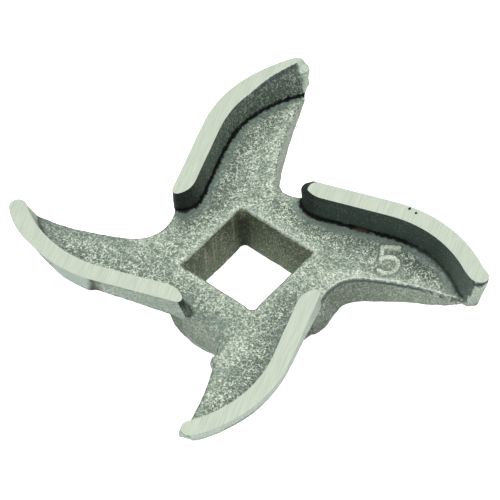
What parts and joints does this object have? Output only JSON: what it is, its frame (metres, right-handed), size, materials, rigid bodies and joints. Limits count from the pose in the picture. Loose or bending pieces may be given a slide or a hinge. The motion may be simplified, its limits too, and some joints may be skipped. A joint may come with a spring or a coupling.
{
  "type": "meat grinder knife",
  "caption": "Meat grinder knife with curved arms, raised cutting edges ground flat and a square drive hole.",
  "frame": {"origin": "axis of the drive hole, at the hub's back face", "axes": "+Z along the hole towards the ground cutting faces, +X and +Y square to the sides of the hole"},
  "size_m": [0.044, 0.044, 0.0091],
  "materials": {
    "steel": "as cast with a fine grain, with the cutting faces ground bright"
  },
  "bodies": {
    "root": {"knife": "steel"}
  },
  "joints": []
}
